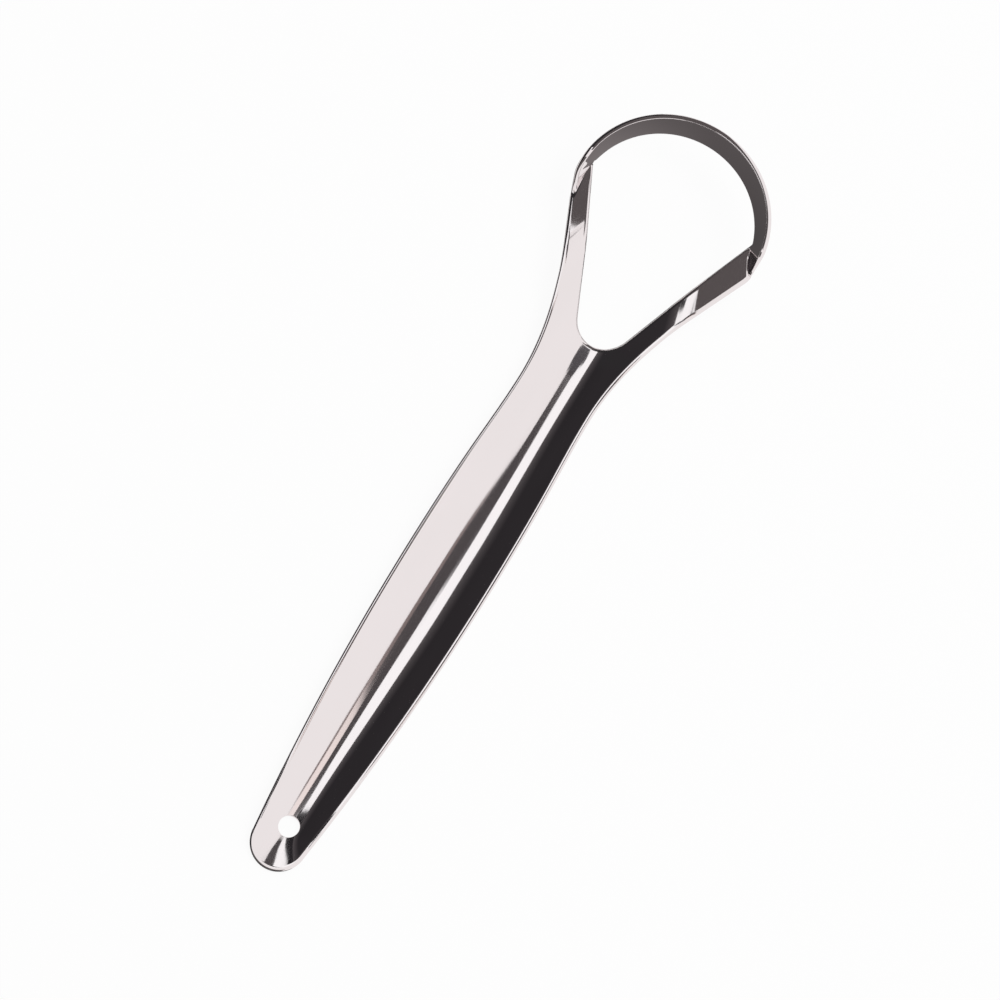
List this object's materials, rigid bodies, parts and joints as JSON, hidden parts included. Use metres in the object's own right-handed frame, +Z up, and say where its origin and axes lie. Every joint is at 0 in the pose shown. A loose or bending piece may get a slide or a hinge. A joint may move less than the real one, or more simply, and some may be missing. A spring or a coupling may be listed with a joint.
{
  "type": "tongue scraper",
  "caption": "Slim pressed-steel tongue scraper with a troughed handle, hanging hole, forked arms and an upright half-round scraping band.",
  "frame": {"origin": "middle of the footprint, on the surface that the back of the trough lies on", "axes": "+Y along the tool from the hanging hole towards the scraping band, +Z up out of the trough, X across"},
  "size_m": [0.0354, 0.148, 0.0114],
  "materials": {
    "polished_steel": "mirror polished stainless steel"
  },
  "bodies": {
    "root": {"hanging_eye": "polished_steel", "handle": "polished_steel", "fork": "polished_steel", "left_arm": "polished_steel", "right_arm": "polished_steel", "scraping_band": "polished_steel"}
  },
  "joints": []
}
